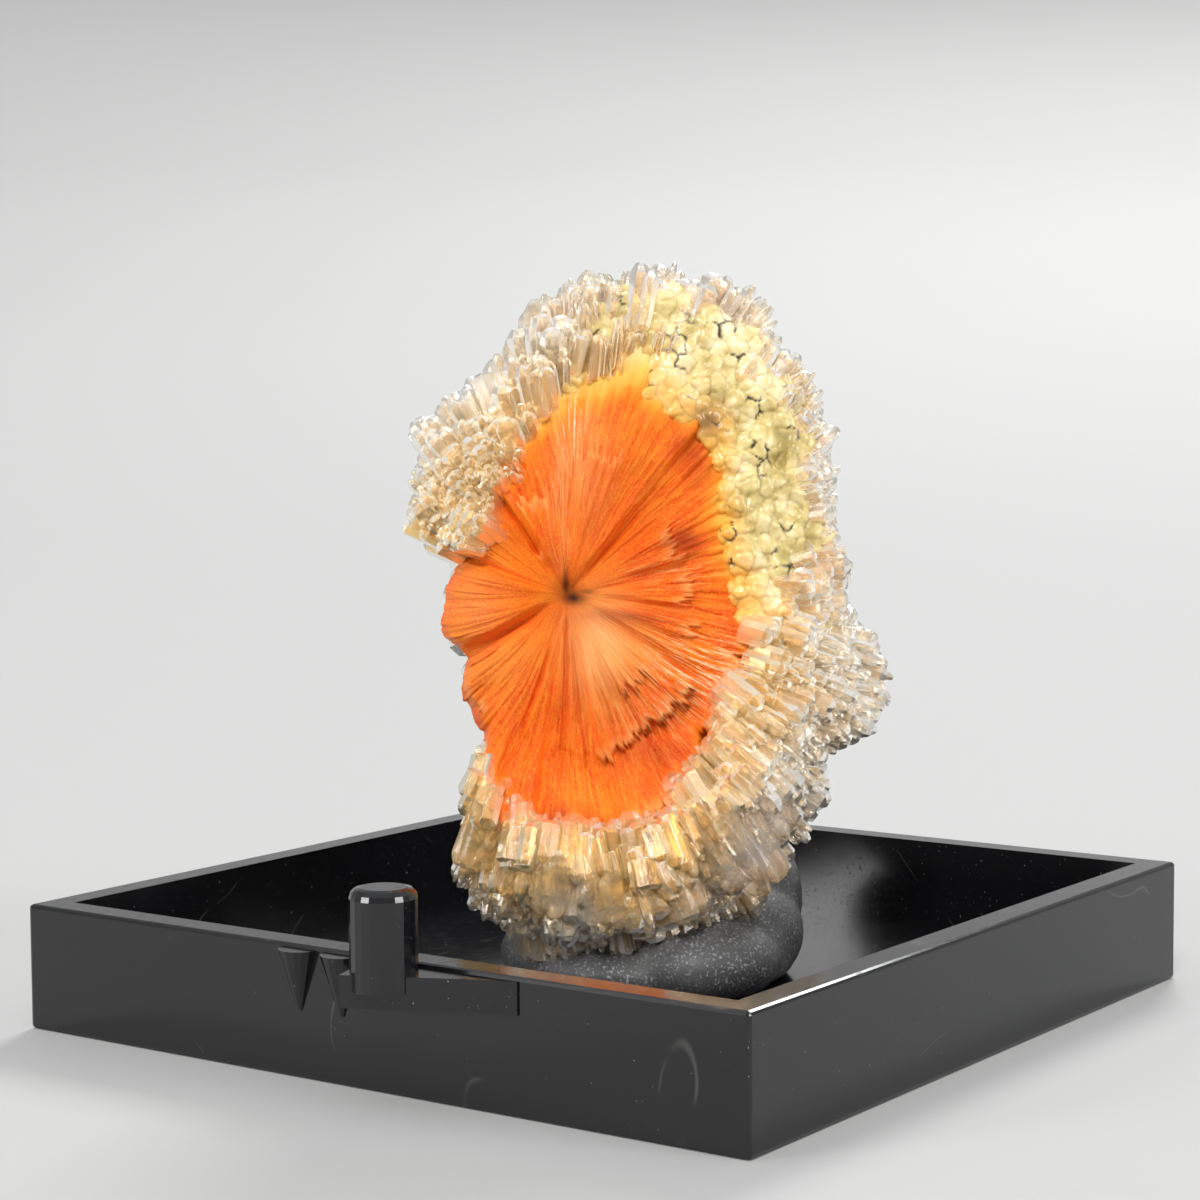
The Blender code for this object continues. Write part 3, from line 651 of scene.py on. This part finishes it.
def finish_crystals(cluster, name, material, voxel=None, smoothing=1):
    """Makes a cluster's piece, fused into one skin where a voxel size is given, and marks its tips."""
    piece = cluster.build(name)
    if voxel:
        reskinned(piece, voxel * MM, smoothing)
    at, degrees, radius = give_fibres(piece)
    tips = KDTree(len(cluster.tips))
    for i, tip in enumerate(cluster.tips):
        tips.insert(tip, i)
    tips.balance()
    away = np.array([tips.find(p)[2] for p in at])
    # painted light: the crystals grow lighter and golden towards their ends, as where light comes through them
    give(piece, "tip", np.clip(1 - away / 1.2, 0, 1))
    give(piece, "amber", smooth_step(4.5, 0.5, radius - around(ORANGE_EDGE, degrees)) * (at[:, 1] > -3))
    finish(piece, name, "scolecite", material)


ice, nt, shader = shader_of("clear crystal ends", Roughness=0.08, IOR=1.48, Transmission_Weight=0.83)
fibre = attribute(nt, "fibre", "Vector")
stripe = node(nt, "ShaderNodeTexNoise", Vector=fibre, Scale=2.2, Detail=4.0, Roughness=0.7).outputs["Fac"]
place = node(nt, "ShaderNodeTexCoord").outputs["Object"]
# fine noise: painted sparkle as near-white flecks in the colour, and a sugary grain in the bump
sparkle_and_grain = node(nt, "ShaderNodeTexNoise", Vector=place, Scale=2600.0, Detail=3.0, Roughness=0.7).outputs["Fac"]
tint = node(nt, "ShaderNodeTexNoise", Vector=place, Scale=210.0, Detail=2.0).outputs["Fac"]
body = ramp(nt, tint, (0.32, (1.0, 0.74, 0.50)), (0.5, (1.0, 0.84, 0.69)), (0.66, (1.0, 0.92, 0.86)))
# painted sparkle, near-white flecks
body = mixed(nt, ramp(nt, sparkle_and_grain, (0.56, 0.0), (0.66, 0.9)), body, (1.0, 0.98, 0.92))
# painted light at the crystals' ends
body = mixed(nt, ramp(nt, attribute(nt, "tip"), (0.3, 0.0), (1.0, 0.6)), body, (1.0, 0.89, 0.62))
body = mixed(nt, ramp(nt, attribute(nt, "amber"), (0.0, 0.0), (1.0, 0.8)), body, (1.0, 0.70, 0.24))
nt.links.new(body, shader.inputs["Base Color"])
nt.links.new(ramp(nt, stripe, (0.3, 0.22), (0.7, 0.04)), shader.inputs["Roughness"])
flutes = node(nt, "ShaderNodeBump", Height=stripe, Strength=0.5, Distance=0.05 * MM)
bump = node(nt, "ShaderNodeBump", Height=sparkle_and_grain, Strength=0.35, Distance=0.10 * MM, Normal=flutes.outputs["Normal"])
nt.links.new(bump.outputs["Normal"], shader.inputs["Normal"])

lower = Cluster(41)
for row in ((261, 301, 16, 1.045, 2.8, 0.90, 0.0), (243, 322, 30, 1.0, 2.3, 0.80, -0.05),
            (243, 324, 28, 0.965, 2.1, 0.80, 0.06), (244, 324, 27, 0.93, 2.1, 0.80, 0.16),
            (245, 324, 26, 0.895, 2.1, 0.80, 0.26), (246, 322, 24, 0.86, 2.1, 0.82, 0.34, 0.05),
            (248, 320, 21, 0.825, 2.2, 0.84, 0.40, 0.1), (250, 318, 18, 0.79, 2.4, 0.88, 0.42, 0.1),
            (254, 312, 13, 0.755, 2.6, 0.88, 0.42, 0.1)):
    grow_row(lower, *row)
finish_crystals(lower, "lower_crystals", ice)

# The fluted columns are the thickest crystals of the lower front. Each is a sheaf of prisms grown into one
# ribbed column, which lies on the crust with its rounded head towards the middle of the fan.
# Each one's degree, share of the way to the rim, lift off the face, length and width, in millimetres.
PILLARS = ((267, 0.86, 0.7, 2.9, 0.9), (277, 0.87, 0.8, 2.8, 0.95), (259, 0.87, 0.6, 2.8, 0.85),
           (291, 0.90, 0.7, 3.2, 1.0), (303.5, 0.90, 0.9, 4.6, 1.35), (312, 0.92, 0.6, 3.0, 1.0),
           (250, 0.90, 0.5, 3.0, 0.9))
pillars = Cluster(45)
for degrees, share, lift, length, width in PILLARS:
    out = np.array((math.cos(math.radians(degrees)), 0.04, math.sin(math.radians(degrees))))
    pillars.bundle(face_point(degrees, share, lift), out, length, width, 9)
finish_crystals(pillars, "fluted_columns", ice, 0.09, 2)

# The crystals of the right side are the same kind, and jut out over the putty as a shoulder. They grew from
# the face's lower right towards the viewer, and grade into the rows of the lower front.
right = Cluster(44)
for row in ((333, 351, 7, 1.05, 2.8, 0.95, 0.0), (320, 368, 19, 1.0, 2.3, 0.78, -0.05),
            (318, 366, 18, 0.96, 2.1, 0.78, 0.08), (314, 365, 19, 0.915, 2.1, 0.78, 0.20),
            (310, 363, 19, 0.87, 2.1, 0.80, 0.30, 0.05), (308, 360, 17, 0.825, 2.1, 0.80, 0.40, 0.05),
            (308, 354, 14, 0.78, 2.1, 0.82, 0.50, 0.05), (312, 350, 11, 0.735, 2.1, 0.82, 0.58, 0.05),
            (316, 346, 8, 0.70, 2.1, 0.80, 0.64, 0.05)):
    grow_row(right, *row)
finish_crystals(right, "right_crystals", ice)

# The crystals of the upper rim: a thin fringe behind the cream skin, then long clear ones over the top of the
# fan, then a dense clump of short ones on the left shoulder, which turns towards the viewer.
upper = Cluster(42)
for row in ((2, 60, 20, 0.99, 2.6, 0.70, -0.20), (6, 58, 16, 0.965, 2.0, 0.6, 0.12),
            (58, 84, 10, 0.99, 2.8, 0.80, -0.1), (82, 112, 10, 0.99, 3.2, 0.90, 0.0, 0.2),
            (84, 112, 8, 0.91, 3.0, 0.90, 0.20, 0.4), (84, 112, 8, 0.83, 2.8, 0.85, 0.26, 0.45),
            (66, 112, 16, 0.82, 2.2, 0.42, 0.16, 0.35), (108, 155, 15, 0.99, 2.4, 0.85, -0.05),
            (108, 155, 14, 0.92, 2.1, 0.82, 0.25), (110, 156, 12, 0.84, 2.0, 0.78, 0.50),
            (110, 154, 11, 0.76, 1.9, 0.72, 0.70, 0.1), (110, 152, 10, 0.69, 1.8, 0.66, 0.85, 0.15),
            (110, 150, 9, 0.62, 1.7, 0.55, 1.0, 0.1)):
    grow_row(upper, *row)
finish_crystals(upper, "upper_crystals", ice)

# The back is the ball's outer surface, a low dome covered with the same crystals, which point away from its
# middle. Only the lower left edge, where the ball broke, is left bare.
# Each ring's share of the way to the rim, how many bundles, and their length and width, in millimetres.
BACK_RINGS = ((0.98, 40, 2.6, 1.00), (0.91, 38, 2.6, 1.10), (0.82, 34, 2.7, 1.15), (0.71, 30, 2.8, 1.20),
              (0.58, 25, 2.8, 1.25), (0.44, 19, 2.8, 1.25), (0.28, 12, 2.8, 1.25), (0.10, 5, 2.8, 1.2))


def back_point(degrees, share):
    """A point of the back, in millimetres: right, towards the viewer, up."""
    r = around(OUTLINE, np.array([degrees]))[0] * share
    up = r * math.sin(math.radians(degrees))
    depth = RIM_HEIGHT - 7.6 * math.sqrt(max(0, 1 - share**2))
    return np.array((r * math.cos(math.radians(degrees)), depth - LEAN * up, up))


druse = Cluster(43)
for share, count, length, width in BACK_RINGS:
    for i in range(count):
        degrees = 360 * (i + druse.rng.uniform(0.1, 0.9)) / count
        if share > 0.86 and 160 < degrees < 243:
            continue
        foot = back_point(degrees, share * druse.rng.uniform(0.96, 1.02))
        direction = foot - np.array((0, 2.5, 0))
        direction = direction / np.linalg.norm(direction) + druse.rng.uniform(-0.15, 0.15, 3)
        druse.bundle(foot, direction, length * druse.rng.uniform(0.7, 1.2), width * druse.rng.uniform(0.8, 1.2), 6)
finish_crystals(druse, "back_crystals", ice)

# The skin beside the fan is the ball's outer surface, seen where the crystals end: cream to greenish
# rounded lumps with a waxy lustre, fused together, with thin black cracks between them.
# Each row of LUMPS is a lump's degree, its distance from the growth centre and its radius, in millimetres.
LUMPS = (
    (51, 10.6, 0.85), (62, 10.6, 0.95), (84, 12.6, 1.5), (76, 13.6, 1.7), (68, 12.4, 1.6), (62, 13.9, 1.8),
    (70, 14.6, 1.4), (56, 12.0, 1.5), (53, 14.2, 1.7), (47, 10.4, 0.95), (60, 10.2, 1.3), (47, 12.4, 1.5),
    (42, 13.6, 1.4), (38, 11.3, 1.4), (33, 12.8, 1.4), (29, 10.2, 1.4), (24, 11.8, 1.5), (20, 9.6, 1.2),
    (15, 10.8, 1.4), (13, 12.4, 1.4), (6, 10.0, 1.5), (1, 11.6, 1.5), (355, 9.9, 1.4), (352, 11.6, 1.4),
)
SKIN_SEED = 51
rng = np.random.default_rng(SKIN_SEED)
noise.seed_set(SKIN_SEED)
balls = []
for degrees, distance, size in LUMPS:
    edge = around(OUTLINE, np.array([degrees]))[0]
    for extra in range(6):
        turn = degrees if extra == 0 else degrees + rng.normal(0, 4)
        far = distance if extra == 0 else distance + rng.normal(0, 1.0)
        small = size if extra == 0 else size * rng.uniform(0.45, 0.8)
        let_go()
        at = face_point(turn, np.clip(far / edge, 0.68, 0.96)) + np.array((0, 0.45 - small * 0.75, 0))
        bpy.ops.mesh.primitive_ico_sphere_add(subdivisions=3, radius=small * MM, location=to_world([at])[0])
        balls.append(bpy.context.object)
# a low ridge along the skin's right edge
for degrees in np.arange(-4, 52, 1.1):
    let_go()
    at = face_point(degrees, 0.935 + 0.02 * math.sin(degrees * 0.4), 0.5)
    bpy.ops.mesh.primitive_ico_sphere_add(subdivisions=2, radius=0.42 * MM, location=to_world([at])[0])
    balls.append(bpy.context.object)
skin = reskinned(merged(balls), 0.11 * MM, 3)
co = np.array([v.co for v in skin.data.vertices])
normals = np.array([v.normal for v in skin.data.vertices])
order = rng.permutation(len(co))
# the small lumps' middles, large ones first: from which points they are drawn, and how far apart they keep
most = 2000
middles, small_lumps = [], KDTree(most)
for candidates, spacing in ((order[:90], 1.7), (order[:500], 1.15), (order[:4000], 0.62)):
    for i in candidates:
        if all(np.sum((co[i] - m) ** 2) > (spacing * MM) ** 2 for m in middles):
            small_lumps.insert(co[i], len(middles))
            middles.append(co[i])
small_lumps.balance()


def two_nearest(point):
    """How far a point is, seen through a slight warp, from the two nearest lumps' middles."""
    point = Vector(point)
    warped = point + noise.noise_vector(point / (0.7 * MM)) * 0.22 * MM
    return [found[2] for found in small_lumps.find_n(warped, 2)]


near = np.array([two_nearest(p) for p in co]) / MM
rough = np.array([noise.fractal(v.co / (0.8 * MM), 0.8, 2.0, 4) for v in skin.data.vertices])
patchy = np.array([noise.noise(v.co / (1.2 * MM)) for v in skin.data.vertices])
gap = near[:, 1] - near[:, 0]
co += normals * (0.13 * (1 - (near[:, 0] / near[:, 1]) ** 5) - 0.08 + 0.13 * rough)[:, None] * MM
skin.data.vertices.foreach_set("co", co.ravel())
skin.data.update()
give(skin, "crack", smooth_step(0.13, 0.05, gap + 0.04 * rough) * smooth_step(0.24, 0.36, patchy))
give_fibres(skin)
skin_at = local(skin)
# painted shade in the crevices between the lumps
give(skin, "painted_crevice_shade", smooth_step(0.16, 0.0, gap))
give(skin, "brown", spots(skin_at, (6.67, 8.2, 0.8, 0.8, 1.0)))
give(skin, "amber", np.maximum(spots(skin_at, (4.9, 9.4, 1.3, 1.2, 1.0), (3.4, 10.6, 1.8, 1.2, 0.7)),
                               smooth_step(1.9, 0.2, np.hypot(skin_at[:, 0], skin_at[:, 2]) - around(
                                   ORANGE_EDGE, np.degrees(np.arctan2(skin_at[:, 2], skin_at[:, 0]))))))
waxy, nt, shader = shader_of("waxy cream skin", Roughness=0.30, IOR=1.52, Coat_Weight=0.15, Coat_Roughness=0.15,
                             Subsurface_Weight=0.3, Subsurface_Radius=(1.0, 0.6, 0.2), Subsurface_Scale=0.4 * MM)
place = node(nt, "ShaderNodeTexCoord").outputs["Object"]
mottle = node(nt, "ShaderNodeTexNoise", Vector=place, Scale=420.0, Detail=5.0, Roughness=0.65).outputs["Fac"]
cream = ramp(nt, mottle, (0.34, (0.46, 0.36, 0.12)), (0.48, (0.76, 0.60, 0.25)), (0.62, (0.92, 0.80, 0.50)))
cream = mixed(nt, ramp(nt, attribute(nt, "amber"), (0.0, 0.0), (1.0, 0.85)), cream, (0.95, 0.46, 0.05))
# painted shade in the crevices
cream = mixed(nt, ramp(nt, attribute(nt, "painted_crevice_shade"), (0.0, 0.0), (1.0, 0.45)), cream, (0.50, 0.34, 0.08))
cream = mixed(nt, attribute(nt, "brown"), cream, (0.30, 0.15, 0.04))
cream = mixed(nt, attribute(nt, "crack"), cream, (0.02, 0.012, 0.006))
nt.links.new(cream, shader.inputs["Base Color"])
bump = node(nt, "ShaderNodeBump", Height=mottle, Strength=0.5, Distance=0.12 * MM)
nt.links.new(bump.outputs["Normal"], shader.inputs["Normal"])
finish(skin, "waxy_skin", "scolecite", waxy)
